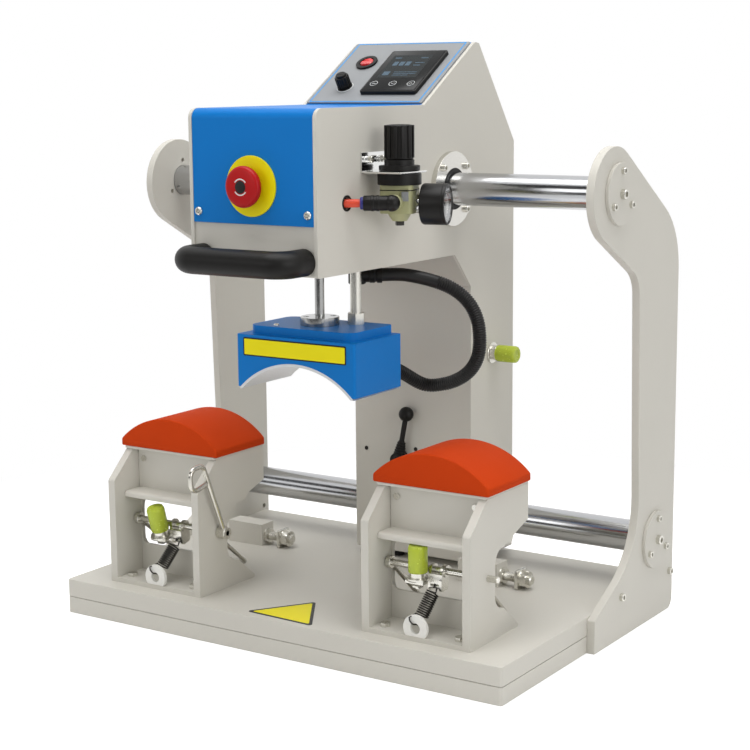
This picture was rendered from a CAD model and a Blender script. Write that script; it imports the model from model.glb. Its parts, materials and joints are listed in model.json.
# %% [markdown]
# # A cap heat press
# This notebook dresses a two-station pneumatic cap press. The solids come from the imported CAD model, and
# every cell below turns one of them into something that looks made: painted sheet steel, ground rails, a
# rubber grip, silicone pads. All sizes are the CAD's own, in millimetres, and one factor makes them metres.

import json
from math import asin, atan2, cos, degrees, pi, radians, sin, tan

import bmesh
import bpy
from mathutils import Matrix, Vector
from mathutils.bvhtree import BVHTree

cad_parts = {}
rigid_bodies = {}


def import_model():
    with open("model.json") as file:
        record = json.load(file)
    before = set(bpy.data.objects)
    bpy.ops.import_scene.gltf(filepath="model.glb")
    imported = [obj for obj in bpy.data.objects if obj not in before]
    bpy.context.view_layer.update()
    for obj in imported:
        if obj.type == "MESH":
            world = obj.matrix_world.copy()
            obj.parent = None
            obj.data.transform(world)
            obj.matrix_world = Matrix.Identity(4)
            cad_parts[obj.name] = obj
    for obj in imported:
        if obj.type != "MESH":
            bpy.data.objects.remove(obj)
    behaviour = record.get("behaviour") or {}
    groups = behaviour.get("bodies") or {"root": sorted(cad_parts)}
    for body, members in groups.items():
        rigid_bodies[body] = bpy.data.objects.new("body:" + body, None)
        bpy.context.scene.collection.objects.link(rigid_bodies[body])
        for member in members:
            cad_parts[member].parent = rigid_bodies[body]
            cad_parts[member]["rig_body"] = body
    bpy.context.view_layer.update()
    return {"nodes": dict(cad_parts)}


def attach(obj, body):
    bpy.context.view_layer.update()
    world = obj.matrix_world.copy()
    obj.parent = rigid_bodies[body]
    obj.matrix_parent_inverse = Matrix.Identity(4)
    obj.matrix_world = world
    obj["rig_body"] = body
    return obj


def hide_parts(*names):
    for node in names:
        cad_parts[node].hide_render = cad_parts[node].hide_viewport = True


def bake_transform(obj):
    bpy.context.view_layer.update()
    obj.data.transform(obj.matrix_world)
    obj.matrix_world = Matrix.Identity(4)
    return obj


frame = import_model()
nodes = frame["nodes"]
MM = 0.001

# %% [markdown]
# ## Camera
# A product photograph is taken from a few metres away with a long lens, so that upright edges stay nearly
# parallel. The place and the three angles below were solved from the straight edges of the real press.

# %% Camera
CAMERA_PLACE = Vector((1035.66, -1546.93, 593.66)) * MM
YAW, PITCH, ROLL = (radians(a) for a in (33.39, -9.88, -0.49))
FOCAL_PIXELS, FRAME_PIXELS, SENSOR = 1706.65, 750, 36

ahead = Vector((-sin(YAW) * cos(PITCH), cos(YAW) * cos(PITCH), sin(PITCH)))
level = ahead.cross(Vector((0, 0, 1))).normalized()
above = level.cross(ahead)
right = level * cos(ROLL) + above * sin(ROLL)
upright = above * cos(ROLL) - level * sin(ROLL)
lens = bpy.data.cameras.new("camera")
lens.sensor_width = SENSOR
lens.lens = SENSOR * FOCAL_PIXELS / FRAME_PIXELS
camera = bpy.data.objects.new("camera", lens)
camera.matrix_world = Matrix((right, upright, -ahead)).transposed().to_4x4()
camera.location = CAMERA_PLACE
scene = bpy.context.scene
scene.collection.objects.link(camera)
scene.camera = camera
scene.view_settings.view_transform = "Standard"
print(f"lens {lens.lens:.1f} mm, camera {CAMERA_PLACE.length:.2f} m from the press")

# %% [markdown]
# ## Helpers for nodes
# Shader and geometry trees are both lists of nodes with links between them, so one small function can add
# any node: a value goes to its socket, and a socket or the first output of a node is linked to it. Sums are
# so common that they get a function of their own.

# %% Adding a node
def add(tree, kind, inputs=(), **properties):
    node = tree.nodes.new(kind)
    for key, value in properties.items():
        setattr(node, key, value)
    for key, value in dict(inputs).items():
        if isinstance(value, bpy.types.Node):
            value = value.outputs[0]
        if isinstance(value, bpy.types.NodeSocket):
            tree.links.new(value, node.inputs[key])
        else:
            node.inputs[key].default_value = value
    return node


def calc(tree, operation, *values):
    """The output of a maths node."""
    return add(tree, "ShaderNodeMath", enumerate(values), operation=operation).outputs[0]


def link(thing):
    scene.collection.objects.link(thing)
    return thing


def linear(hex_code):
    """The linear colour of an sRGB hex value."""
    parts = [int(hex_code[i:i + 2], 16) / 255 for i in (1, 3, 5)]
    return tuple(p / 12.92 if p <= 0.04045 else ((p + 0.055) / 1.055) ** 2.4 for p in parts) + (1,)


# %% [markdown]
# ## Finishes
# Every finish here has the same three layers. A slow change of tone stops large faces from looking like
# flat colour. A fine grain goes to the bump, as orange peel in paint, grinding lines in steel or the spark
# texture of a mould. The same grain moves the roughness a little, so that highlights break up. The grain is
# given in millimetres, and `stretch` draws it out along an axis where the real surface was ground or drawn.

# %% One finish
materials = {}


def finish(name, colour, roughness, grain, bump, metallic=0.0, specular=0.5, tone=0.04, tone_size=70,
           stretch=(1, 1, 1), spread=0.06, **fixed):
    """A material of the three layers; a keyword such as Coat_Weight sets the shader's input of that name."""
    material = bpy.data.materials.new(name)
    material.use_nodes = True
    tree = material.node_tree
    tree.nodes.clear()
    where = add(tree, "ShaderNodeTexCoord").outputs["Object"]
    drawn_out = add(tree, "ShaderNodeMapping", {"Vector": where, "Scale": stretch})
    slow = add(tree, "ShaderNodeTexNoise", {"Vector": where, "Scale": 1 / (tone_size * MM), "Detail": 3.0})
    fine = add(tree, "ShaderNodeTexNoise", {"Vector": drawn_out, "Scale": 1 / (grain * MM), "Detail": 2.0})
    base = linear(colour)
    dark = tuple(c * (1 - tone) for c in base[:3]) + (1,)
    light = tuple(min(1.0, c * (1 + tone)) for c in base[:3]) + (1,)
    shade = add(tree, "ShaderNodeMix", {0: slow, 6: dark, 7: light}, data_type="RGBA")
    gloss = add(tree, "ShaderNodeMapRange", {"Value": fine, "From Min": 0.3, "From Max": 0.7,
                                             "To Min": max(0.02, roughness - spread), "To Max": roughness + spread})
    relief = add(tree, "ShaderNodeBump", {"Height": fine, "Strength": 1.0, "Distance": bump * MM})
    shader = add(tree, "ShaderNodeBsdfPrincipled", {
        "Base Color": shade.outputs[2], "Roughness": gloss, "Normal": relief,
        "Metallic": metallic, "Specular IOR Level": specular})
    for socket, value in fixed.items():
        shader.inputs[socket.replace("_", " ")].default_value = value
    add(tree, "ShaderNodeOutputMaterial", {"Surface": shader})
    materials[name] = material
    return material


# %% [markdown]
# ## Paint
# The press is folded and plated steel under powder coat. Powder melts into a skin with a faint orange peel
# about a millimetre across, and it is only half glossy. The grey is warm, the blue is deep, and the paint on
# the spring lugs is nearly white.

# %% Paints
GREY = finish("powder coat warm grey", "#CFCCC3", 0.46, 1.1, 0.012, tone=0.025, tone_size=120, specular=0.3)
PANEL = finish("satin anodised panel", "#8E9092", 0.42, 0.5, 0.004, tone=0.02, stretch=(1, 12, 12), specular=0.3)
WHITE = finish("white enamel", "#ECEBE6", 0.35, 0.9, 0.008, tone=0.02, specular=0.3)
BLUE = finish("powder coat blue", "#0074C4", 0.42, 1.0, 0.010, tone=0.03, tone_size=90, specular=0.18)
YELLOW_LABEL = finish("printed vinyl yellow", "#F4E60C", 0.45, 0.6, 0.003, tone=0.02, specular=0.2)
BLUE_LABEL = finish("printed vinyl blue", "#2E93DA", 0.45, 0.6, 0.003, specular=0.2)
BLACK_LABEL = finish("printed vinyl black", "#121210", 0.45, 0.6, 0.003, specular=0.3)
print("paints:", ", ".join(materials))

# %% [markdown]
# ## Metals
# The rails are hardened steel ground between wheels, which leaves very fine rings round them. Bearings,
# screws and wire are plated, so they are brighter and a little rough. A metal keeps its default index of
# refraction and takes its colour from the base colour alone.

# %% Metals
RAIL = finish("centreless ground steel", "#BFC0C2", 0.19, 1.2, 0.004, metallic=1.0, stretch=(3, 0.3, 0.3),
              spread=0.05, Anisotropic=0.4)
ZINC = finish("bright zinc plate", "#D6D4CC", 0.26, 0.5, 0.006, metallic=1.0, spread=0.08)
BEARING = finish("nickel plated steel", "#DAD8D2", 0.24, 0.7, 0.005, metallic=1.0)
WIRE = finish("drawn stainless wire", "#C6C3BA", 0.24, 0.5, 0.006, metallic=1.0, spread=0.08)
CHROME = finish("chrome plate", "#E6E6E4", 0.10, 1.5, 0.003, metallic=1.0, spread=0.03)
BLACK_STEEL = finish("black oxide steel", "#3A3835", 0.26, 0.4, 0.006, metallic=0.85)
DARK_CHROME = finish("hard chrome rod", "#A9A9A8", 0.16, 0.6, 0.003, metallic=1.0, stretch=(1, 1, 0.1))
SHOE = finish("polished cast aluminium", "#DADBDC", 0.38, 0.8, 0.010, metallic=0.35, stretch=(1, 0.1, 1))
BRONZE = finish("sintered bronze", "#B08A48", 0.42, 0.4, 0.02, metallic=1.0)
CYLINDER = finish("anodised aluminium tube", "#B9BCBE", 0.35, 0.5, 0.005, metallic=0.9)
OLIVE = finish("olive painted die casting", "#A6A67C", 0.42, 0.8, 0.02, tone=0.05, tone_size=25)
print(len(materials), "finishes so far")

# %% [markdown]
# ## Plastics, rubber and silicone
# Moulded plastic has a spark texture of a few tenths of a millimetre. The foam grip is smoother and throws
# one broad highlight. Silicone is matte and scatters a little light inside. The bumpers are cast urethane,
# through which light passes, so they are part transparent.

# %% Plastics
PLASTIC = finish("moulded black plastic", "#0C0A08", 0.42, 0.5, 0.010, tone=0.08, tone_size=30, specular=0.25)
RUBBER = finish("black foam grip", "#0B0907", 0.46, 0.7, 0.010, tone=0.08, tone_size=40, specular=0.25)
HOSE = finish("black nylon hose", "#0C0B0A", 0.45, 0.6, 0.008, tone=0.08, tone_size=30, specular=0.35)
RED = finish("moulded red plastic", "#AE0A0E", 0.36, 0.7, 0.004, tone=0.04, tone_size=30, specular=0.25)
LAMP_RED = finish("clear red rocker", "#D01018", 0.16, 0.8, 0.003, tone=0.05, tone_size=8, Coat_Weight=0.4)
YELLOW = finish("moulded yellow plastic", "#EFE206", 0.42, 0.6, 0.005, tone=0.03, specular=0.2)
SILICONE = finish("orange silicone rubber", "#C23C06", 0.72, 0.5, 0.020, tone=0.05, tone_size=35, specular=0.12)
LIME = finish("cast lime urethane", "#CFE04A", 0.22, 2.5, 0.010, tone=0.06, tone_size=12,
              Transmission_Weight=0.35, IOR=1.45, specular=0.3)
TUBE = finish("red polyurethane tube", "#E05038", 0.30, 1.0, 0.004, tone=0.05, tone_size=10, specular=0.3)
COLLAR = finish("blue release collar", "#33367E", 0.34, 0.5, 0.004, specular=0.3)
SCREEN = finish("dark screen glass", "#040606", 0.16, 3.0, 0.001, tone=0.1, tone_size=25, spread=0.03, specular=0.2)
GLOW = finish("screen picture area", "#161C1D", 0.3, 2.0, 0.001, tone=0.25, tone_size=22, spread=0.04, specular=0.15)
MARK = finish("screen marks", "#3F5666", 0.3, 1.0, 0.001, specular=0.3)
ICON = finish("white printed marks", "#D8DAD8", 0.4, 0.8, 0.001)
DIAL = finish("white printed dial", "#EEEDE8", 0.45, 0.6, 0.002, tone=0.01)
LENS = finish("clear gauge lens", "#FFFFFF", 0.03, 3.0, 0.001, tone=0.0, spread=0.01, Transmission_Weight=1.0,
              IOR=1.45)
print(len(materials), "finishes in all")

# %% [markdown]
# ## Stage and light
# A cut-out product picture has a white ground, so the world and the floor show white to the camera and to
# glossy and clear surfaces, while the diffuse light stays at a plain level. One wide lamp hangs above, one
# stands to the right and a weak one to the front left. Two dark cards, seen only in reflections, give the
# bright metal the dark bands that make it read as metal.

# %% World
world = bpy.data.worlds.new("studio")
scene.world = world
world.use_nodes = True
sky = world.node_tree
sky.nodes.clear()
AMBIENT = 0.40
WHITE_LIGHT = (1, 1, 1, 1)


def seen(tree):
    """One where the camera sees a surface, straight or in glossy and clear surfaces; zero for diffuse light."""
    ray = add(tree, "ShaderNodeLightPath").outputs
    straight = calc(tree, "MAXIMUM", ray["Is Camera Ray"], ray["Is Glossy Ray"])
    return calc(tree, "MAXIMUM", straight, ray["Is Transmission Ray"])


soft = add(sky, "ShaderNodeBackground", {"Color": (1, 0.995, 0.985, 1), "Strength": AMBIENT})
white = add(sky, "ShaderNodeBackground", {"Color": WHITE_LIGHT, "Strength": 1.0})
both = add(sky, "ShaderNodeMixShader", {0: seen(sky), 1: soft, 2: white})
add(sky, "ShaderNodeOutputWorld", {"Surface": both})

# %% Floor
def stage_mesh(name, corners, material):
    mesh = bpy.data.meshes.new(name)
    mesh.from_pydata([Vector(c) for c in corners], [], [range(len(corners))])
    mesh.materials.append(material)
    thing = link(bpy.data.objects.new(name, mesh))
    return thing


paper = bpy.data.materials.new("white paper sweep")
paper.use_nodes = True
tree = paper.node_tree
tree.nodes.clear()
FLOOR, FADE_FROM, FADE_TO, LIFT = 9.0, 0.42, 0.85, 0.5
direct = seen(tree)
matte = add(tree, "ShaderNodeBsdfDiffuse", {"Color": (0.8, 0.8, 0.8, 1)})
shine = add(tree, "ShaderNodeEmission", {"Color": WHITE_LIGHT, "Strength": calc(tree, "MULTIPLY", direct, LIFT)})
near = add(tree, "ShaderNodeAddShader", {0: matte, 1: shine})
away = add(tree, "ShaderNodeVectorMath", {0: add(tree, "ShaderNodeTexCoord").outputs["Object"]}, operation="LENGTH")
fade = add(tree, "ShaderNodeMapRange", {"Value": away.outputs["Value"], "From Min": FADE_FROM, "From Max": FADE_TO})
fade = calc(tree, "MULTIPLY", fade, direct)
plain = add(tree, "ShaderNodeEmission", {"Color": WHITE_LIGHT, "Strength": 1.0})
sheet = add(tree, "ShaderNodeMixShader", {0: fade, 1: near, 2: plain})
add(tree, "ShaderNodeOutputMaterial", {"Surface": sheet})
stage_mesh("floor", [(-FLOOR, -FLOOR, 0), (FLOOR, -FLOOR, 0), (FLOOR, FLOOR, 0), (-FLOOR, FLOOR, 0)], paper)

# %% Lamps and cards
def lamp(name, place, target, size, watts):
    light = bpy.data.lights.new(name, "AREA")
    light.shape = "RECTANGLE"
    light.size, light.size_y = size
    light.energy = watts
    thing = link(bpy.data.objects.new(name, light))
    thing.location = place
    thing.rotation_mode = "QUATERNION"
    thing.rotation_quaternion = (Vector(target) - Vector(place)).to_track_quat("-Z", "Y")


lamp("lamp_above", (0.15, -0.2, 2.5), (0, 0, 0.3), (2.4, 1.8), 52)
lamp("lamp_right", (3.8, -1.3, 1.5), (0, 0, 0.35), (2.2, 2.0), 34)
lamp("lamp_front", (-1.0, -3.4, 1.3), (0, 0, 0.35), (2.0, 1.6), 15)
card_paint = finish("black card", "#161616", 0.9, 5.0, 0.001)


def card(name, corners):
    thing = stage_mesh(name, corners, card_paint)
    thing.visible_camera = thing.visible_diffuse = thing.visible_shadow = thing.visible_transmission = False


card("card_low", [(-2.5, -2.2, 0.02), (2.5, -2.2, 0.02), (2.5, -2.2, 0.75), (-2.5, -2.2, 0.75)])
card("card_high", [(-2.5, -2.0, 1.5), (2.5, -2.0, 1.5), (2.5, -1.4, 2.3), (-2.5, -1.4, 2.3)])
print("stage ready")

# %% [markdown]
# ## From CAD solid to finished piece
# A CAD mesh is loose triangles with razor edges, and a folded or machined part has none. A copy is merged,
# its flat faces are joined again, and a bevel of a few tenths of a millimetre turns every sharp edge, which
# is what catches the light. Weighted normals keep the wide faces flat in shading.

# %% Copying a CAD node
BODY_OF = {name: thing["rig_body"] for name, thing in nodes.items()}
SHARP = radians(32)
FOLD_AREA = 5e-8


def dress(piece, body, material, replaces=(), smooth=SHARP):
    """Gives a piece its material, smooth shading, its body and its slot, and hides what it replaces."""
    if material is not None:
        for one in material if isinstance(material, (list, tuple)) else [material]:
            piece.data.materials.append(one)
    piece.data.shade_smooth()
    if smooth:
        piece.data.set_sharp_from_angle(angle=smooth)
    if body:
        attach(piece, body)
    if replaces:
        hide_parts(*replaces)
    return piece


def as_object(name, shape):
    """A drawn shape as an object of the scene."""
    mesh = bpy.data.meshes.new(name)
    shape.to_mesh(mesh)
    shape.free()
    return link(bpy.data.objects.new(name, mesh))


def settle(piece):
    """Applies the modifiers of a piece to its mesh."""
    bpy.context.view_layer.update()
    solid = piece.evaluated_get(bpy.context.evaluated_depsgraph_get())
    mesh = bpy.data.meshes.new_from_object(solid)
    piece.modifiers.clear()
    old, piece.data = piece.data, mesh
    bpy.data.meshes.remove(old)
    mesh.name = piece.name
    return piece


def folded(edge, least):
    """True if two faces meet at an edge at more than an angle in degrees."""
    return len(edge.link_faces) == 2 and edge.calc_face_angle(0) > radians(least)


def bevel(shape, edges, width, steps):
    bmesh.ops.bevel(shape, geom=edges, offset=width, segments=steps, affect="EDGES", profile=0.5,
                    clamp_overlap=False, miter_outer="ARC")


def sharp_edges(shape, width):
    """Edges that a bevel can round: sharp ones, apart from short ones that meet another edge at a corner."""
    sharp = {e for e in shape.edges if folded(e, 30)}
    short = set()
    for v in shape.verts:
        meet = [e for e in v.link_edges if e in sharp]
        if len(meet) == 2:
            a, b = ((e.other_vert(v).co - v.co).normalized() for e in meet)
            if a.dot(b) < -0.8:
                continue
        short.update(e for e in meet if e.calc_length() < 2.5 * width)
    return list(sharp - short)


def sound(shape, surface, limit):
    """True if a bevel kept every point near the CAD's surface and folded no face over."""
    if any((surface.find_nearest(v.co)[3] or 0) > limit for v in shape.verts):
        return False
    for corners in shape.calc_loop_triangles():
        a, b, c = (loop.vert.co for loop in corners)
        if (b - a).cross(c - a).dot(corners[0].face.normal) < -FOLD_AREA:
            return False
    return True


def from_cad(node, material, edge=0.5, steps=2, paint=None):
    """A merged copy of a CAD node with rounded edges, in the node's place. With several materials, paint
    picks one for each face from the face's middle in millimetres."""
    plain = bmesh.new()
    plain.from_mesh(nodes[node].data)
    bmesh.ops.remove_doubles(plain, verts=plain.verts, dist=2e-6)
    surface = BVHTree.FromBMesh(plain)
    bmesh.ops.dissolve_limit(plain, angle_limit=radians(0.4), verts=plain.verts, edges=plain.edges)
    for width in (edge, edge * 0.8, edge * 0.6, edge * 0.45, edge * 0.3, 0):
        shape = plain.copy()
        if width:
            bevel(shape, sharp_edges(shape, width * MM), width * MM, steps)
        shape.normal_update()
        if sound(shape, surface, 0.9 * width * MM + 1e-6):
            break
        shape.free()
    if width < edge:
        print(f"{node}: edge {width:.2f} mm instead of {edge}")
    piece = as_object(node + "_look", shape)
    plain.free()
    piece.data.shade_smooth()
    piece.data.set_sharp_from_angle(angle=SHARP)
    if width:
        weigh = piece.modifiers.new("flat faces", "WEIGHTED_NORMAL")
        weigh.keep_sharp = True
        settle(piece)
    dress(piece, BODY_OF[node], material, [node], smooth=None)
    if paint:
        for face in piece.data.polygons:
            face.material_index = paint(face.center / MM)
    return piece


# %% [markdown]
# ## Shapes drawn in millimetres
# Three ways of making a solid cover most hand-made pieces here: a profile spun round an axis, an outline
# given thickness, and both placed by the same turn-and-move that the CAD uses. Each adds to one drawing, so
# a piece can have several shapes and several materials. `made` turns the drawing into a piece.

# %% Placing and drawing
def place(x=0, y=0, z=0, rx=0, ry=0, rz=0):
    turn = Matrix.Rotation(radians(rz), 4, "Z") @ Matrix.Rotation(radians(ry), 4, "Y")
    return Matrix.Translation((x, y, z)) @ turn @ Matrix.Rotation(radians(rx), 4, "X")


def rounded(points, radius, steps=4):
    """Points of an outline with its corners rounded."""
    out, count = [], len(points)
    for i, point in enumerate(points):
        here = Vector(point)
        before = (Vector(points[i - 1]) - here).normalized()
        after = (Vector(points[(i + 1) % count]) - here).normalized()
        half = before.angle(after) / 2
        centre = here + (before + after).normalized() * radius / sin(half)
        start = here + before * radius / tan(half) - centre
        end = here + after * radius / tan(half) - centre
        first = atan2(start.y, start.x)
        sweep = (atan2(end.y, end.x) - first + pi) % (2 * pi) - pi
        turn = [first + sweep * k / steps for k in range(steps + 1)]
        out += [(centre.x + radius * cos(a), centre.y + radius * sin(a)) for a in turn]
    return out


drawing = bmesh.new()


def put(part, at, index, edge=0.0, steps=2):
    """Rounds a part's edges, places it and adds it to the drawing."""
    bmesh.ops.recalc_face_normals(part, faces=part.faces)
    if edge:
        bevel(part, [e for e in part.edges if folded(e, 33)], edge, steps)
    for face in part.faces:
        face.material_index = index
    bmesh.ops.transform(part, matrix=at, verts=part.verts)
    scratch = bpy.data.meshes.new("scratch")
    part.to_mesh(scratch)
    part.free()
    drawing.from_mesh(scratch)
    bpy.data.meshes.remove(scratch)


def flats(count):
    """The outline of a nut or a socket: a circle pressed to a number of flats."""
    sector = 2 * pi / count
    return lambda a: cos(sector / 2) / cos(a % sector - sector / 2)


def flutes(count, depth):
    return lambda a: 1 - depth * (0.5 - 0.5 * cos(count * a)) ** 2


def cross(a):
    return 0.3 + 0.7 * max(abs(cos(a)), abs(sin(a))) ** 12


def spin(profile, at=Matrix(), sides=48, index=0, closed=False):
    """Spins (radius, height) points about Z; a third item shapes that ring. An open profile starts and ends
    on the axis."""
    part, rings = bmesh.new(), []
    for r, z, *outline in profile:
        if r < 1e-6:
            rings.append([part.verts.new((0, 0, z))])
            continue
        ring = []
        for k in range(sides):
            a = 2 * pi * k / sides
            reach = r * (outline[0](a) if outline else 1)
            ring.append(part.verts.new((reach * cos(a), reach * sin(a), z)))
        rings.append(ring)
    if closed:
        rings.append(rings[0])
    for low, high in zip(rings, rings[1:]):
        for k in range(sides):
            n = (k + 1) % sides
            corners = [low[k % len(low)], low[n % len(low)], high[n % len(high)], high[k % len(high)]]
            part.faces.new(list(dict.fromkeys(corners)))
    put(part, at, index)


def slab(outline, low, high, at=Matrix(), edge=0.0, index=0, steps=2):
    """An outline in the XY plane given thickness from low to high."""
    part = bmesh.new()
    bottom = [part.verts.new((x, y, low)) for x, y in outline]
    top = [part.verts.new((x, y, high)) for x, y in outline]
    part.faces.new(bottom)
    part.faces.new(top)
    for k in range(len(outline)):
        n = (k + 1) % len(outline)
        part.faces.new((bottom[k], bottom[n], top[n], top[k]))
    put(part, at, index, edge, steps)


def rectangle(x0, x1, y0, y1):
    return [(x0, y0), (x1, y0), (x1, y1), (x0, y1)]


def arc(x, y, r, angles):
    """Points on a circle about (x, y), at angles in degrees."""
    return [(x + r * cos(radians(a)), y + r * sin(radians(a))) for a in angles]


def band(r0, r1, first, last, steps=16):
    """The outline of a part of a ring, between two radii and two angles in degrees."""
    turn = [first + (last - first) * k / steps for k in range(steps + 1)]
    return arc(0, 0, r1, turn) + arc(0, 0, r0, reversed(turn))


def drawn(name):
    """The drawing as an object in metres. The next drawing starts empty."""
    shape = drawing.copy()
    drawing.clear()
    bmesh.ops.transform(shape, matrix=Matrix.Scale(MM, 4), verts=shape.verts)
    return as_object(name, shape)


def made(name, body, material, replaces=(), smooth=SHARP):
    """Turns the drawing into a piece of the press."""
    piece = dress(drawn(name), body, material, replaces, smooth)
    print(f"{name}: {len(piece.data.polygons)} faces on {body}")
    return piece


# %% [markdown]
# ## Geometry Nodes
# Whatever repeats or follows a path comes from a node tree: wires swept along their bends, a hose with
# ribs, screws set on a flange, ribs round a knob, marks round a dial. A tree has named inputs for its sizes.
# It ends in Realize Instances and Set Material, and the result becomes a plain mesh.

# %% Making and growing a tree
def new_tree(name, **sizes):
    tree = bpy.data.node_groups.new(name, "GeometryNodeTree")
    tree.interface.new_socket("Geometry", in_out="INPUT", socket_type="NodeSocketGeometry")
    kinds = {int: "NodeSocketInt", float: "NodeSocketFloat", str: "NodeSocketObject"}
    for key, value in sizes.items():
        socket = tree.interface.new_socket(key, in_out="INPUT", socket_type=kinds[type(value)])
        if not isinstance(value, str):
            socket.default_value = value
    tree.interface.new_socket("Material", in_out="INPUT", socket_type="NodeSocketMaterial")
    tree.interface.new_socket("Geometry", in_out="OUTPUT", socket_type="NodeSocketGeometry")
    return tree, add(tree, "NodeGroupInput").outputs


def end_tree(tree, start, geometry):
    solid = add(tree, "GeometryNodeRealizeInstances", {"Geometry": geometry})
    coated = add(tree, "GeometryNodeSetMaterial", {"Geometry": solid, "Material": start["Material"]})
    add(tree, "NodeGroupOutput", {"Geometry": coated})


def grow(tree, name, points, material, body, slot=None, replaces=(), out=None, thick=(), at=None, **sizes):
    """Runs a tree on points given in millimetres and keeps the plain mesh that it makes. Points with a way out
    carry copies, and points with a thickness, also in millimetres, are joined to a path."""
    mesh = bpy.data.meshes.new(name)
    edges = [(k, k + 1) for k in range(len(points) - 1)] if thick else []
    mesh.from_pydata([Vector(p) * MM for p in points], edges, [])
    if out:
        mesh.attributes.new("out", "FLOAT_VECTOR", "POINT").data.foreach_set("vector", [c for v in out for c in v])
    if thick:
        radii = [t * MM for t in (thick if isinstance(thick, list) else [thick] * len(points))]
        mesh.attributes.new("thick", "FLOAT", "POINT").data.foreach_set("value", radii)
    piece = link(bpy.data.objects.new(name, mesh))
    modifier = piece.modifiers.new(tree.name, "NODES")
    modifier.node_group = tree
    sizes["Material"] = material
    for socket in tree.interface.items_tree:
        if socket.in_out == "INPUT" and socket.name in sizes:
            modifier[socket.identifier] = sizes[socket.name]
    settle(piece)
    if at:
        piece.data.transform(Matrix.Scale(MM, 4) @ at @ Matrix.Scale(1 / MM, 4))
    print(f"{name}: {len(piece.data.polygons)} faces from {tree.name}")
    return dress(piece, body, None, replaces)


# %% A wire or hose whose thickness follows an attribute along its path
swept, start = new_tree("swept along a path", Sides=24)
line = add(swept, "GeometryNodeMeshToCurve", {"Mesh": start["Geometry"]})
thick = add(swept, "GeometryNodeInputNamedAttribute", {"Name": "thick"}, data_type="FLOAT")
ring = add(swept, "GeometryNodeCurvePrimitiveCircle", {"Resolution": start["Sides"], "Radius": 1.0})
tube = add(swept, "GeometryNodeCurveToMesh", {"Curve": line, "Profile Curve": ring, "Scale": thick, "Fill Caps": True})
end_tree(swept, start, tube)


MOST_OF_HALF = 0.48


def bend(points, radius, steps=8):
    """A path in space with its corners rounded, each corner in its own plane."""
    points = [Vector(p) for p in points]
    out = points[:1]
    for before, here, after in zip(points, points[1:], points[2:]):
        before, after = before - here, after - here
        a, b = before.normalized(), after.normalized()
        half = a.angle(b) / 2
        reach = min(radius / tan(half), MOST_OF_HALF * before.length, MOST_OF_HALF * after.length)
        centre = here + (a + b).normalized() * reach * tan(half) / sin(half)
        u, v = here + a * reach - centre, here + b * reach - centre
        sweep = u.angle(v)
        for k in range(steps + 1):
            t = k / steps
            out.append(centre + (u * sin((1 - t) * sweep) + v * sin(t * sweep)) / sin(sweep))
    return out + points[-1:]


# %% Copies set on points, and copies set round a circle
def set_copies(tree, start, points, rotation):
    model = add(tree, "GeometryNodeObjectInfo", {"Object": start["Copy"], "As Instance": True}).outputs["Geometry"]
    end_tree(tree, start, add(tree, "GeometryNodeInstanceOnPoints", {"Points": points, "Instance": model,
                                                                     "Rotation": rotation}))


scattered, start = new_tree("set on points", Copy="object")
facing = add(scattered, "GeometryNodeInputNamedAttribute", {"Name": "out"}, data_type="FLOAT_VECTOR")
turned = add(scattered, "FunctionNodeAlignRotationToVector", {"Vector": facing}, axis="Z")
set_copies(scattered, start, start["Geometry"], turned)

circled, start = new_tree("set round a circle", Copy="object", Count=16, Radius=0.014, Sweep=2 * pi, First=0.0)
dots = add(circled, "GeometryNodePoints", {"Count": start["Count"]})
share = calc(circled, "DIVIDE", add(circled, "GeometryNodeInputIndex"), start["Count"])
angle = calc(circled, "MULTIPLY_ADD", share, start["Sweep"], start["First"])
aim = add(circled, "ShaderNodeCombineXYZ", {"Z": angle})
arm = add(circled, "ShaderNodeCombineXYZ", {"X": start["Radius"]})
spot = add(circled, "ShaderNodeVectorRotate", {"Vector": arm, "Rotation": aim}, rotation_type="EULER_XYZ")
moved = add(circled, "GeometryNodeSetPosition", {"Geometry": dots, "Position": spot})
set_copies(circled, start, moved, aim)

print("trees:", ", ".join(t.name for t in bpy.data.node_groups))

# %% [markdown]
# ## Sheets and plates
# The base, the swan-neck plates, the stations and the head are laser-cut and folded steel. Their shapes are
# already right in the CAD, so each is a copy with rounded edges. A cut edge under powder coat has a radius of
# about half a millimetre, and a fold has more.

# %% Painted steel
for node, edge in [("base_tray", 0.8), ("base_deck", 0.9), ("left_side_plate", 0.7), ("right_side_plate", 0.7),
                   ("rail_caps", 0.6), ("left_station_frame", 0.7), ("right_station_frame", 0.7),
                   ("front_panels", 0.5), ("bed_plates", 0.6), ("stop_blocks", 0.9), ("head_shell", 0.7),
                   ("rear_cover", 0.4)]:
    piece = from_cad(node, GREY, edge)
    print(f"{piece.name}: {len(piece.data.polygons)} faces")
from_cad("front_cover", BLUE, 0.45)
from_cad("platen_cover", BLUE, 0.9, 3)
from_cad("control_panel", PANEL, 0.4)
from_cad("spring_lugs", WHITE, 0.5)

# %% Bright metal
from_cad("upper_rail", RAIL, 0)
from_cad("lower_rail", RAIL, 0)
from_cad("linear_bearings", BEARING, 0.5)
from_cad("heating_shoe", SHOE, 0)
from_cad("cylinder_rod", DARK_CHROME, 0.5)
from_cad("guide_rod", ZINC, 0.3)
from_cad("regulator_bracket", CHROME, 0.4)
from_cad("station_bolts", ZINC, 0.3)


# %% Nodes that stay as they are
def coat(node, material):
    thing = nodes[node]
    for one in thing.material_slots:
        one.material = material
    if not thing.material_slots:
        thing.data.materials.append(material)


coat("air_cylinder", CYLINDER)
coat("guide_bush", BRONZE)
coat("air_valve", PLASTIC)

# %% [markdown]
# ## Screws
# Identical screws are one model each, set on points by a node tree. A socket cap screw has a chamfered rim
# and a hexagonal well. A pan head screw has a cross. The well is what makes a screw read as a screw, even
# when it covers four pixels.

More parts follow.
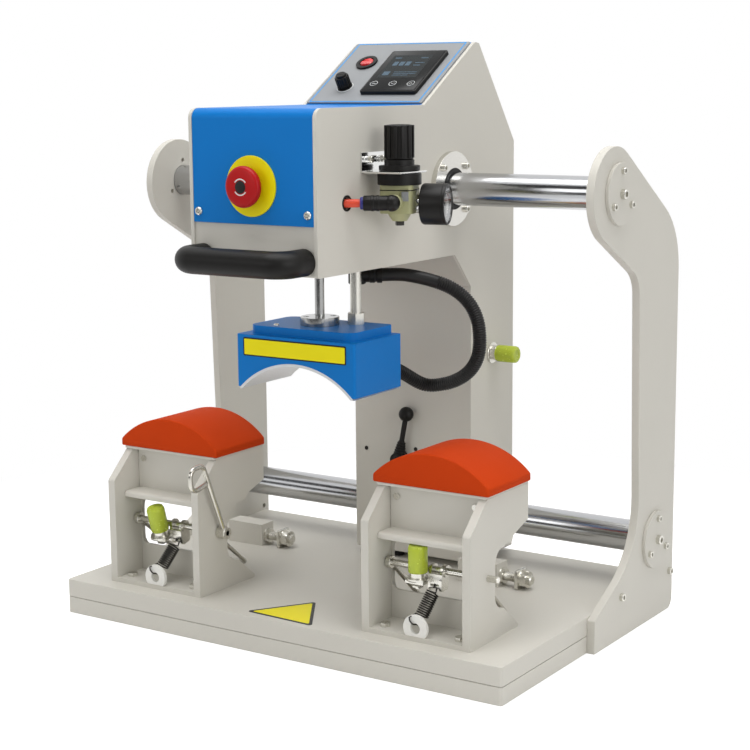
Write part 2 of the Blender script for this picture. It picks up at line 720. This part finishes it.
# %% Screw models
HEX = flats(6)


def cap_screw(d):
    spin([(0, -0.5), (0.8 * d, -0.5), (0.8 * d, 0.68 * d), (0.72 * d, 0.8 * d), (0.52 * d, 0.8 * d),
          (0.48 * d, 0.76 * d, HEX), (0.48 * d, 0.3 * d, HEX), (0, 0.26 * d)], sides=24)
    return drawn("cap_screw_model")


def pan_screw(d):
    spin([(0, -0.4), (d, -0.4), (d, 0.12 * d), (0.92 * d, 0.34 * d), (0.72 * d, 0.5 * d), (0.6 * d, 0.54 * d),
          (0.56 * d, 0.5 * d, cross), (0.5 * d, 0.2 * d, cross), (0, 0.16 * d)], sides=32)
    return drawn("pan_screw_model")


def screws(name, model, places, out, body, material=ZINC, replaces=()):
    """Copies of a screw on points; out is the way that each head faces, or one way for all."""
    ways = out if isinstance(out, list) else [out] * len(places)
    grow(scattered, name, places, material, body, "zinc_steel", replaces, out=ways, Copy=model)
    bpy.data.objects.remove(model)


# %% Screws of the frame
X_OUT, CAP_T = 289, 4
RAILS = [(37.5, 475.5), (142, 90.5)]


def at_rails(left, right, radius=0, angles=(0,), rows=RAILS):
    """Points round both rails on a left and a right face, each with the way out of its face."""
    spots = [((face, *spot), (side, 0, 0)) for side, face in ((-1, left), (1, right)) for y, z in rows
             for spot in arc(y, z, radius, angles)]
    return [spot for spot, _ in spots], [way for _, way in spots]


CAPS = (-X_OUT - CAP_T, X_OUT + CAP_T)
screws("cap_screws", cap_screw(4.6), *at_rails(*CAPS, 23.68, (90, 210, 330)), "frame", replaces=["frame_screws"])
screws("rail_end_screws", cap_screw(6.5), *at_rails(*CAPS), "frame")
screws("foot_screws", cap_screw(5.2), *at_rails(-X_OUT, X_OUT, rows=[(58.5, 46), (183.5, 44)]), "frame")

# %% Screws of the head
HEAD_X, HEAD_L, HEAD_R, HEAD_FRONT, COLUMN_FRONT = 12, -66, 90, -210.5, 82.5
FLANGE_T, PLATEN_TOP = 6, 339
FLANGES = (HEAD_L - FLANGE_T, HEAD_R + FLANGE_T)
screws("flange_screws", cap_screw(4.6), *at_rails(*FLANGES, 33, (45, 135, 225, 315)), "head", replaces=["head_screws"])
for name, model, places, out, body, material in [
        ("cover_screws", pan_screw(4.4), [(HEAD_X - 67, HEAD_FRONT, 463.5), (HEAD_X + 67, HEAD_FRONT, 463.5)],
         (0, -1, 0), "head", ZINC),
        ("column_screws", pan_screw(2.4), [(-51, COLUMN_FRONT, 166), (17, COLUMN_FRONT, 172)], (0, -1, 0), "head",
         BLACK_STEEL),
        ("bracket_screws", cap_screw(4.2), [(HEAD_R + 6, -127, 514), (HEAD_R + 6, -106, 514)], (1, 0, 0), "head", ZINC),
        ("platen_screws", pan_screw(3.0), [(-26, -123.4, PLATEN_TOP), (36, -62.4, PLATEN_TOP)], (0, 0, 1), "platen",
         ZINC)]:
    screws(name, model, places, out, body, material)

# %% Seals in the bearings
for (x, y, z), (side, _, _) in zip(*at_rails(*FLANGES)):
    spin([(17.7, -0.2), (22.5, -0.2), (22.3, 0.35), (21.5, 0.5), (18.6, 0.2), (17.7, -0.1)],
         place(x, y, z, ry=90 * side), closed=True)
made("bearing_seals", "head", RUBBER)

# %% [markdown]
# ## Handle and stop button
# The handle is a steel bar in a thick foam sleeve, bent forward at both ends. The foam is smooth, so it is a
# circle swept along a rounded path. The mushroom of the stop button is turned: a flat face, a soft rim and a
# waist in shadow behind it. Its face keeps a plain dark disc and a broken white ring.

# %% Handle
GRIP_W, GRIP_REACH, GRIP_Z = 62, 36, 418
bar = [(HEAD_X + x, HEAD_FRONT - y, GRIP_Z) for x, y in
       ((-GRIP_W, 0.3), (-GRIP_W, GRIP_REACH), (GRIP_W, GRIP_REACH), (GRIP_W, 0.3))]
path = bend(bar, 18, 12)
grow(swept, "handle_foam", path, RUBBER, "head", "black_rubber", ["handle_grip"], thick=13.5, Sides=48)

# %% Stop button
from_cad("stop_ring", YELLOW, 0.4)
RING_T, STOP_BUTTON_Z = 6.2, 490
FACE = place(HEAD_X, HEAD_FRONT - RING_T, STOP_BUTTON_Z, rx=90)
rim = arc(16.5, 7.8, 4, range(0, 91, 15))
spin([(0, -24), (6, -24), (6, -0.3), (6.6, 0), (13.5, 0.2), (17, 1.6), (19.2, 3.4), (20.3, 5.4)] + rim +
     [(12, 12.15), (6, 12.28), (0, 12.3)], FACE, 72)
made("stop_mushroom", "stop_push", RED, ["stop_button"], smooth=radians(50))
spin([(0, 12.2), (6.3, 12.2), (6.3, 12.42), (6.1, 12.5), (0, 12.5)], FACE)
for first in (35, 215):
    slab(band(7.2, 8.4, first, first + 110), 12.1, 12.42, FACE, index=1)
made("stop_disc", "stop_push", [BLACK_LABEL, ICON])

# %% [markdown]
# ## Control slope
# Display, switch and fuse holder sit on a satin plate that leans back. They are drawn on a flat plane whose
# Y runs up the slope, and one matrix leans them. The display is a glossy black front with a dim picture
# area, three touch keys and a few plain marks. The plate carries only a thin printed line round its edge.

# %% Display
SLOPE_Y, SLOPE_Z, SLOPE_LEAN = -14, 565.5, 32.08
SLOPE = place(HEAD_X, SLOPE_Y, SLOPE_Z, rx=SLOPE_LEAN)
for sides in ((-70.2, 70.2, 2.3, 3.7), (-70.2, 70.2, 118.8, 120.2), (-70.2, -68.8, 3.7, 118.8),
              (68.8, 70.2, 3.7, 118.8)):
    slab(rectangle(*sides), 1.9, 2.12, SLOPE)
made("panel_border", "head", BLUE_LABEL)
slab(rounded(rectangle(-11.5, 59.5, 16, 98), 3), -20, 6.3, SLOPE, edge=0.9, steps=3)
slab(rounded(rectangle(-9.5, 57.5, 18, 96), 2.2), 6.0, 6.75, SLOPE, edge=0.25, index=1)
slab(rounded(rectangle(-3, 47, 42, 87), 0.8), 6.7, 6.85, SLOPE, index=2)
for sides in [(1, 9, 80.5, 82.5), (34, 43, 80.5, 82), (4, 10, 66, 74), (12, 18, 66, 74), (20, 26, 66, 74),
              (31, 43, 71, 72.4), (31, 40, 66, 67.4), (1, 9, 47, 54.5), (14, 43, 52.6, 53.6), (14, 43, 49.4, 50.4),
              (14, 34, 46.4, 47.4)]:
    slab(rectangle(*sides), 6.8, 6.92, SLOPE, index=3)
for x, lean in ((0, 0), (24, -1), (47, 1)):
    key = SLOPE @ place(x, 31, 0)
    slab(band(4.0, 4.5, 0, 356, 32), 6.7, 6.85, key, index=4)
    tip = 1.1 * lean
    line = [(-2, -tip), (0, tip), (2, -tip)]
    slab([(x, y - 0.35) for x, y in line] + [(x, y + 0.35) for x, y in reversed(line)], 6.7, 6.85, key, index=4)
made("display_front", "head", [PLASTIC, SCREEN, GLOW, MARK, ICON], ["display_unit"])

# %% Switch and fuse
from_cad("switch_body", PLASTIC, 0.5)
from_cad("power_rocker", LAMP_RED, 0.4)
from_cad("fuse_holder", PLASTIC, 0.3)
FUSE = SLOPE @ place(-39, 31, 2)
ribs = flutes(14, 0.09)
spin([(0, 2.3), (7.4, 2.3, ribs), (8.0, 3, ribs), (8.0, 13, ribs), (7.4, 14.2, ribs), (5.9, 14.4),
      (5.75, 16.2), (5.2, 16.7), (0, 16.8)], FUSE, 84)
slab(rectangle(-4.6, 4.6, -0.6, 0.6), 16.4, 16.95, FUSE, index=1)
spin(rectangle(8.1, 9.6, 0.02, 0.3), FUSE, index=2, closed=True)
made("fuse_knob", "fuse", [PLASTIC, BLACK_LABEL, ICON], ["fuse_cap"])

# %% [markdown]
# ## Regulator, gauge and air line
# The regulator is a die casting in olive paint, with a moulded bonnet and a ribbed knob. It stands turned a
# little on its bracket, so everything on it is drawn square and turned by one matrix. The ribs of the knob
# are copies set round a circle by a node tree.

# %% Regulator
REG = place(120, -110.5, 0, rz=17)
PORT_Z, ELBOW_Z = 470, 472.5
from_cad("regulator_body", OLIVE, 0.9, 3)
slab(rounded(rectangle(-17.25, 17.25, -16.25, 16.25), 5), 483.6, 484.5, REG)
slab(rounded(rectangle(6.5, 13.5, -16.6, -15.6), 0.2), 473.5, 482.8, REG, index=1)
spin([(0, 448.4), (4.2, 448.4, HEX), (4.6, 449, HEX), (4.6, 453.5, HEX), (0, 453.5)], REG, index=2)
spin([(0, 15.8), (8.6, 15.8, HEX), (9.0, 16.4, HEX), (9.0, 20.6, HEX), (8.2, 21.6), (5, 21.7), (0, 21.7)],
     REG @ place(0, 0, PORT_Z, ry=90), index=3)
made("regulator_trim", "head", [BLACK_STEEL, PANEL, BLACK_STEEL, CHROME])
from_cad("regulator_bonnet", PLASTIC, 0.7)
spin([(0, 514), (13.4, 514), (14, 514.6), (14, 546.6), (13.2, 547.6), (10.4, 548), (10, 547.2), (0, 547.2)], REG, 64)
made("knob_core", "pressure_knob", PLASTIC, ["regulator_knob"])
slab(rounded([(-1.2, -1.9), (1.0, -1.9), (1.35, -1.2), (1.35, 1.2), (1.0, 1.9), (-1.2, 1.9)], 0.3), 515.5, 547.4,
     edge=0.35)
rib = drawn("knob_rib_model")
grow(circled, "knob_ribs", [(0, 0, 0)], PLASTIC, "pressure_knob", "black_plastic", at=REG, Copy=rib, Count=12,
     Radius=0.0139)
bpy.data.objects.remove(rib)

# %% Gauge
GAUGE = REG @ place(22, 0, PORT_Z, ry=90)
spin([(0, -4), (3.9, -4), (3.9, 2), (18.2, 2), (19.8, 2.6), (20.5, 4), (20.5, 24.4), (20.2, 24.8), (20.5, 25.2),
      (20.5, 27), (20, 27.8), (19.4, 28), (18.7, 28), (18.5, 27.6), (18.5, 22), (0, 22)], GAUGE, 72)
spin(rectangle(0, 18.3, 22.01, 22.12), GAUGE, 72, 1)
made("gauge_body", "head", [PLASTIC, DIAL], ["gauge_case"])
spin([(0, 26.0), (18.4, 26.0), (18.4, 27.0), (9, 27.3), (0, 27.4)], GAUGE, 72)
made("gauge_lens", "head", LENS)
slab(rectangle(-1.7, 1.7, -0.16, 0.16), 22.14, 22.2)
tick = drawn("tick_model")
MARKS, DIAL_SWEEP = 41, 270
grow(circled, "gauge_marks", [(0, 0, 0)], BLACK_LABEL, "head", "black_plastic", at=GAUGE, Copy=tick, Count=MARKS,
     Radius=0.0158, Sweep=radians(DIAL_SWEEP * MARKS / (MARKS - 1)), First=radians(45))
bpy.data.objects.remove(tick)
coat("gauge_needle", BLACK_LABEL)


def digits(words, places, size, at):
    """Draws numbers as thin solids: each text becomes a mesh before it is put in place."""
    for word, (x, y) in zip(words, places):
        text = bpy.data.curves.new("number", "FONT")
        text.body = word
        text.size = size
        text.align_x = "CENTER"
        text.align_y = "CENTER"
        text.extrude = 0.03
        holder = link(bpy.data.objects.new("number", text))
        bpy.context.view_layer.update()
        mesh = bpy.data.meshes.new_from_object(holder.evaluated_get(bpy.context.evaluated_depsgraph_get()))
        mesh.transform(at @ place(x, y, 22.17))
        mesh.materials.clear()
        drawing.from_mesh(mesh)
        bpy.data.meshes.remove(mesh)
        bpy.data.objects.remove(holder)
        bpy.data.curves.remove(text)


# Seen from the front of the gauge, up on the dial is up on the press: that is -X of the gauge's own plane.
UPRIGHT = GAUGE @ place(rz=90)
digits("0 2 4 6 8 10".split(), arc(0, 0, 11.4, range(225, -46, -54)), 4.2, UPRIGHT)
made("gauge_numbers", "head", BLACK_LABEL, smooth=None)

# %% Elbow and tube
ELBOW, TUBE_Y = Vector((128.33, -137.76)), -160
aim = degrees(atan2(TUBE_Y - ELBOW.y, HEAD_R - ELBOW.x))
BARREL = place(*ELBOW, ELBOW_Z, ry=90, rz=aim)
NECK = REG @ place(0, -20.05, ELBOW_Z, rx=90)
spin([(0, 0), (8.0, 0), (8.2, 0.4), (8.2, 2.4), (7.8, 2.9), (7.2, 3.2), (7.2, 9.5), (0, 9.5)], NECK, index=3)
ball = arc(0, 0, 8.3, range(-90, 31, 10))
spin(ball + [(7.5, 4.3), (7.5, 12), (7.9, 12.6), (7.9, 14.6), (7.5, 15.2), (7.5, 17.4), (7.9, 18), (7.9, 20),
             (7.5, 20.6), (7.5, 27.2), (7.0, 28), (4, 28), (0, 28)], BARREL)
spin([(0, 27.8), (6.2, 27.8), (6.2, 30.2), (5.8, 31), (4.2, 31), (3.6, 30.4), (0, 30.4)], BARREL, index=1)
made("elbow_body", "head", [PLASTIC, COLLAR, PLASTIC, OLIVE], ["air_fittings"])
reach = (ELBOW.x - HEAD_R + 4) / -cos(radians(aim))
path = [BARREL @ Vector((0, 0, z)) for z in (26, 30, reach - 4, reach + 6)]
grow(swept, "red_air_tube", path, TUBE, "head", "red_plastic", thick=[4, 4, 4.2, 4.6], Sides=32)
spin([(6.3, -0.6), (6.95, -0.6), (6.95, 0), (8.0, 0.05), (8.0, 0.7), (7.6, 1.1), (6.7, 1.1), (6.3, 0.7)],
     place(HEAD_R, TUBE_Y, ELBOW_Z, ry=90), 48, closed=True)
made("tube_grommet", "head", RUBBER)

# %% [markdown]
# ## Bumpers
# The urethane bumpers are cast on a steel cup with a stud inside, and light passes through them. The stud is
# modelled too, because it shows as a dark core.

# %% Bumper
BUMPER_L, BUMPER_R, BUMPER_Y, BUMPER_Z = 32.5, 9.6, 130.5, 284
for name, side, face, hidden in (("left", -1, HEAD_L, []), ("right", 1, HEAD_R, ["side_bumpers"])):
    at = place(face, BUMPER_Y, BUMPER_Z, ry=90 * side)
    spin([(0, 0), (12, 0), (12, 1.6), (11.6, 2), (8.4, 2.2), (8.5, 2.4), (8.5, 7.4), (8.1, 8), (0, 8)], at, index=1)
    top, r = BUMPER_L, BUMPER_R
    spin([(0, 8.05), (r - 0.6, 8.05), (r, 9.3), (r, top - 2.6), (r - 0.5, top - 0.9), (r - 1.6, top), (r - 4.5, top),
          (r - 5, top - 0.6), (0, top - 0.6)], at)
    spin([(0, 8.2), (3, 8.2), (3, top - 7), (2.4, top - 6.4), (0, top - 6.4)], at, 24, 1)
    made(name + "_side_bumper", "head", [LIME, ZINC], hidden)

# %% [markdown]
# ## Conduit
# A corrugated hose carries the heater's cable from the arm down to the platen, and it has to give when the
# platen moves. It follows the CAD's own route, a smooth curve through its points. Its ribs are the radius
# of the curve going up and down, about two and a half millimetres a rib, so one sweep makes the whole hose.

# %% Route
ROUTE = [(60, -56.1, 292), (60, -42, 291.2), (64, -24, 283), (80, -2, 267), (98, 9, 267), (116, 14, 274),
         (130, 16, 286), (138, 16, 302), (140, 15, 322), (137, 14, 341), (129, 10, 358), (115, 2, 372),
         (96, -9, 381), (72, -26, 387.6), (50, -40.7, 388)]


def smooth_route(points, t):
    s = min(int(t * (len(points) - 1)), len(points) - 2)
    u = t * (len(points) - 1) - s
    a, b, c, d = (Vector(points[max(0, min(len(points) - 1, s + k))]) for k in (-1, 0, 1, 2))
    return 0.5 * (2 * b + u * (c - a) + u * u * (2 * a - 5 * b + 4 * c - d) + u ** 3 * (3 * b - a - 3 * c + d))


SAMPLES = 2000
fine = [smooth_route(ROUTE, k / SAMPLES) for k in range(SAMPLES + 1)]
run = [0.0]
for a, b in zip(fine, fine[1:]):
    run.append(run[-1] + (b - a).length)
STEP, RIB, PLAIN_END = 0.42, 2.52, 62
count = int(run[-1] / STEP)
path, thick, j = [], [], 0
for k in range(count + 1):
    s = run[-1] * k / count
    while run[j + 1] < s and j < SAMPLES - 1:
        j += 1
    path.append(fine[j].lerp(fine[j + 1], (s - run[j]) / (run[j + 1] - run[j])))
    wave = 0.5 - 0.5 * cos(2 * pi * s / RIB)
    plain = s < 3 or s > run[-1] - PLAIN_END
    thick.append(7.05 if plain else 6.55 + 0.9 * wave ** 0.6)
hose = grow(swept, "ribbed_conduit", path, HOSE, None, "black_rubber", ["conduit"], thick=thick, Sides=28)
every = path[::max(1, len(path) // 60)]
every = every if every[-1] == path[-1] else every + [path[-1]]
[tuple(p * MM) for p in every]
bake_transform(hose)

# %% Gland under the arm
GLAND_X, GLAND_Y, HOSE_Z = 30, -54, 388
GLAND = place(GLAND_X, GLAND_Y, 0)
spin([(0, 378.6), (8.4, 378.6), (9.4, 379.6), (9.4, 389), (8.6, 390), (9.0, 390.6, HEX), (10.4, 391.2, HEX),
      (10.4, 398, HEX), (9.2, 399), (7.4, 399.1), (7.4, 403), (7.0, 403.4), (7.0, 413), (0, 413)], GLAND)
away = Vector(ROUTE[-1]) - Vector((GLAND_X, GLAND_Y, HOSE_Z))
sleeve = place(GLAND_X, GLAND_Y, HOSE_Z, ry=90, rz=degrees(atan2(away.y, away.x)))
end = away.length
spin([(0, 0), (7.9, 0), (7.9, 13), (8.6, 13.6), (8.6, 18.4), (8.0, 19), (7.6, 19.6), (7.6, end - 0.4), (0, end - 0.4)],
     sleeve)
spin([(7.1, end - 3), (8.4, end - 3), (8.7, end - 2.6), (8.7, end + 2), (8.3, end + 2.6), (7.1, end + 2.6)], sleeve,
     closed=True)
made("conduit_nut", "head", PLASTIC, ["conduit_gland"])

# %% [markdown]
# ## Platen trim and floor sign
# Two yellow plates with black borders lie where the real machine has its signs, one on the platen and one
# on the deck. They stay blank. Each is a black sheet with a slightly smaller yellow one on it.

# %% Blank signs
PLATEN_FRONT = -144.5
FRONT = place(0, PLATEN_FRONT, 0, rx=90)
slab(rounded(rectangle(-53.7, 76.5, 307.7, 327), 1.5), -0.1, 0.35, FRONT, index=1)
slab(rounded(rectangle(-52.3, 75.1, 309.1, 325.6), 1), 0.2, 0.42, FRONT)
made("platen_sign", "platen", [YELLOW_LABEL, BLACK_LABEL])
DECK_TOP = 39
corners = [Vector(c) for c in ((-35.6, -173.8), (52.9, -177.9), (9.3, -109.1))]
middle = sum(corners, Vector((0, 0))) / 3
slab(rounded(corners, 3), DECK_TOP - 0.1, DECK_TOP + 0.3, index=1)
slab(rounded([middle.lerp(c, 0.86) for c in corners], 1.5), DECK_TOP + 0.2, DECK_TOP + 0.37)
made("deck_sign", "frame", [YELLOW_LABEL, BLACK_LABEL])

# %% [markdown]
# ## Silicone pads
# Each pad is a block of orange silicone with upright sides and a crown that matches the hollow of the
# platen. Its edges are moulded soft, about two millimetres. It is one outline given depth and rounded,
# because a moulded block has no seams to sew and nothing to pull in.

# %% Pads
STATION_X = 169
PAD_HALF_W, PAD_HALF_D, PAD_Y, PAD_Z, CROWN_R, CROWN_Z = 68, 43.5, -92, 189, 97, 127.8
for side, name in ((-1, "left_pad"), (1, "right_pad")):
    half = asin(PAD_HALF_W / CROWN_R)
    turn = [half * (1 - k / 24) for k in range(49)]
    crown = [(CROWN_R * sin(a), CROWN_Z - PAD_Z + CROWN_R * cos(a)) for a in turn]
    slab([(-PAD_HALF_W, 0), (PAD_HALF_W, 0)] + crown, -PAD_HALF_D, PAD_HALF_D,
         place(side * STATION_X, PAD_Y, PAD_Z, rx=90), edge=1.8, steps=3)
    piece = made(name + "_silicone", BODY_OF[name], SILICONE, [name], smooth=radians(40))

# %% [markdown]
# ## Station mechanism
# Inside each station a shaft carries a hand lever, a clevis arm with a bumper, and a wire bail. A tension
# spring pulls the arm to a white lug. Shaft, arm and wires are drawn about the shaft's own axis and turned
# to the angle at which each stands in the picture.

# %% Shaft frame
STATIONS = {"left": (-1, 16, -39, 113), "right": (1, 0, -42, 25)}  # side, and the tilts of arm, bail and lever
SHAFT_Y, SHAFT_Z, LEVER_X, LUG_Y, LUG_Z = -129, 105.5, 71.75, -162, 52.5
BAIL_X, BAIL_R, HUB_X = 51, 84, 64.05


def on_shaft(side, tilt):
    return place(side * STATION_X, SHAFT_Y, SHAFT_Z, rx=tilt)


# %% Arms
for name, (side, tilt, _, _) in STATIONS.items():
    ARM = on_shaft(side, tilt)
    back = ARM.inverted()

    def urethane(point):
        """One for a face of the bumper, which stands on the arm's plate; zero for the steel."""
        p = back @ point
        return int(p.z > -1.05 and (p.x + 9) ** 2 + (p.y + 14) ** 2 < 106)

    from_cad(name + "_arm", [ZINC, LIME], 0.4, paint=urethane)
    spin([(0, 0), (3, 0), (3, 20), (2.4, 20.8), (0, 20.8)], ARM @ place(-9, -14, -0.8), 24)
    spin(rectangle(3.6, 6.2, -1.2, 0), ARM @ place(ry=-90), 32, closed=True)
    spin(rectangle(3.6, 6.2, 16, 17.2), ARM @ place(ry=90), 32, closed=True)
    made(name + "_arm_studs", BODY_OF[name + "_arm"], ZINC)

# %% Springs
WIRE_R, COIL_R, COIL_START, COIL_END, COIL_PITCH = 0.8, 6.35, 13.5, 39.0, 2.3
for name, (side, tilt, _, _) in STATIONS.items():
    a = radians(tilt)
    lug = Vector((side * STATION_X, LUG_Y, LUG_Z))
    pin = Vector((side * STATION_X + 8, SHAFT_Y - 8 * cos(a) + 15 * sin(a), SHAFT_Z - 8 * sin(a) - 15 * cos(a)))
    axis = (pin - lug).normalized()
    across = axis.cross(Vector((1, 0, 0))).normalized()
    over = across.cross(axis)
    steps = 20 * int((COIL_END - COIL_START) / COIL_PITCH)
    rings = arc(0, 0, COIL_R, [225 + 18 * k for k in range(steps + 1)])
    coil = [lug + axis * (COIL_START + (COIL_END - COIL_START) * k / steps) + u * across + v * over
            for k, (u, v) in enumerate(rings)]
    low = [lug + Vector(q) for q in ((0.5, 3.6, 2.4), (0, 0, 4), (-1.5, -3.4, 4.6), (-4.5, -4.2, 8), (-5.2, -4, 11.5))]
    back = Vector((0, axis.z, -axis.y)).normalized()
    along = Vector((0, axis.y, axis.z)).normalized()
    high = [pin + back * q[0] * 3.1 + along * (q[1] if q[1] < -1.5 else q[1] * 3.1) for q in
            ((1.3, -5.5), (1.12, -1.9), (1.08, 0.1), (0.78, 0.8), (0, 1.08), (-0.78, 0.78), (-1.05, 0), (-0.8, -0.75))]
    path = bend(low, 3, 4) + coil + bend(high, 2, 4)
    spring = grow(swept, name + "_spring_wire", path, BLACK_STEEL, None, "black_steel", [name + "_spring"],
                  thick=WIRE_R, Sides=10)
    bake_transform(spring)

# %% Bails and hand levers
for name, (side, _, bail_turn, lever_turn) in STATIONS.items():
    BAIL = on_shaft(side, bail_turn)
    path = bend([BAIL @ Vector(p) for p in
                 ((-BAIL_X, 4, 0), (-BAIL_X, BAIL_R, 0), (BAIL_X, BAIL_R, 0), (BAIL_X, 4, 0))], 8, 10)
    grow(swept, name + "_bail_wire", path, WIRE, BODY_OF[name + "_bail"], "zinc_steel", [name + "_bail"], thick=2.5)
    for x in (-BAIL_X, BAIL_X):
        spin([(3.6, -2.8), (6.2, -2.8), (6.5, -2.4), (6.5, 2.4), (6.2, 2.8), (3.6, 2.8)], BAIL @ place(x, 0, 0, ry=90),
             40, closed=True)
    made(name + "_bail_eyes", BODY_OF[name + "_bail"], ZINC)
    LEVER = on_shaft(side, lever_turn)
    x = -side * LEVER_X
    loop = [(0, 0), (89, 0), (96, 21), (72, 29), (67, 4.2)]
    path = bend([LEVER @ Vector((x, y, z)) for y, z in loop], 9, 8)
    grow(swept, name + "_lever_wire", path, WIRE, BODY_OF[name + "_lever"], "zinc_steel", [name + "_lever"],
         thick=2.75)
    end = LEVER_X + 4
    for chamfer, r, low, high in ((0.6, 3.5, -end, end), (0.5, 7, *sorted((-side * HUB_X, x - side * 4)))):
        spin([(0, low), (r - chamfer, low), (r, low + chamfer), (r, high - chamfer), (r - chamfer, high), (0, high)],
             LEVER @ place(ry=90), 40)
    made(name + "_lever_shaft", BODY_OF[name + "_lever"], ZINC)

# %% [markdown]
# ## Stops and brake
# Behind each station a threaded stop stands in a block, with a square plate, a nut and a round end. On the
# column a small lever with a ball and a ribbed boot works the brake foot.

# %% Threads
def threaded(r, first, last, pitch=1.5, depth=0.75):
    points, z = [(r - depth, first)], first
    while z + pitch <= last:
        points += [(r, z + pitch / 2), (r - depth, z + pitch)]
        z += pitch
    return points


STOP_Y, STOP_Z, BLOCK_HALF_L = 51, 50, 25
for x in (-200, 123.5):
    at = place(x + BLOCK_HALF_L, STOP_Y, STOP_Z, ry=90)
    spin([(0, -14)] + threaded(5, -14, 20.8) + [(4.2, 21), (0, 21)], at, 32)
    spin([(0, 0.1), (8.4, 0.1), (9.2, 0.7, HEX), (9.2, 4.4, HEX), (8.4, 5), (0, 5)], at, 48)
    slab(rounded(rectangle(-10.5, 10.5, -10.5, 10.5), 1.2), 21, 25, at, edge=0.5)
    spin([(0, 25), (9.3, 25), (10.3, 25.7, HEX), (10.3, 33.2, HEX), (9.3, 34), (5.2, 34), (0, 34)], at, 48)
    spin([(0, 34), (5.6, 34), (5.6, 36.8), (4.6, 38), (0, 38)], at, 40)
made("stop_studs", "frame", ZINC, ["stop_screws"])

# %% Brake lever
BRAKE_Z, PLATE_FRONT, FOOT_X = 160, 72.5, -14
TURN = place(0, 0, BRAKE_Z, ry=11)
at = TURN @ place(0, PLATE_FRONT, 0)
boot = [(0, -1), (7.2, -1), (7.6, 0), (7.6, 5.4), (7, 6)]
for k in range(5):
    r, z = 6.6 - 0.55 * k, 6.4 + 3.1 * k
    boot += [(r, z), (r + 0.5, z + 0.5), (r + 0.4, z + 1.7), (r - 0.5, z + 2.2)]
boot += [(3.6, 22.4), (3.0, 23), (3.0, 47.2), (3.4, 47.8), (4.4, 48.3)]
ball = arc(0, 55, 8.6, range(-58, 91, 8))
spin(boot + ball + [(0, 63.6)], at, 48)
spin([(0, -7), (7.6, -7), (8, -6.5), (8, 9.3), (7.6, 9.7), (0, 9.7)], at @ place(rx=-90), 48)
made("brake_handle", "brake_arm", PLASTIC, ["brake_lever"])
spin(rectangle(0, 4, PLATE_FRONT, 89), place(0, 0, BRAKE_Z, rx=-90), 32)
crank = arc(FOOT_X, 0, 4, range(90, 271, 20)) + arc(0, 0, 6, range(-90, 91, 20))
slab(crank, -89, -86, place(0, 0, BRAKE_Z, rx=90), edge=0.4)
spin(rectangle(0, 2, 88.5, 99.5), place(FOOT_X, 0, BRAKE_Z, rx=-90), 24)
made("brake_crank", "brake_arm", ZINC)
from_cad("brake_foot", [ZINC, RUBBER], 0.3, paint=lambda p: 1 if p.z < 48.9 else 0)

# %% [markdown]
# ## Last step
# The two boxes go to a small file, so that the sizes of the dressed press and of the CAD model can be
# compared. The last call checks that every piece rides on a body and writes the table of pieces.

# %% Finish
bpy.context.view_layer.update()
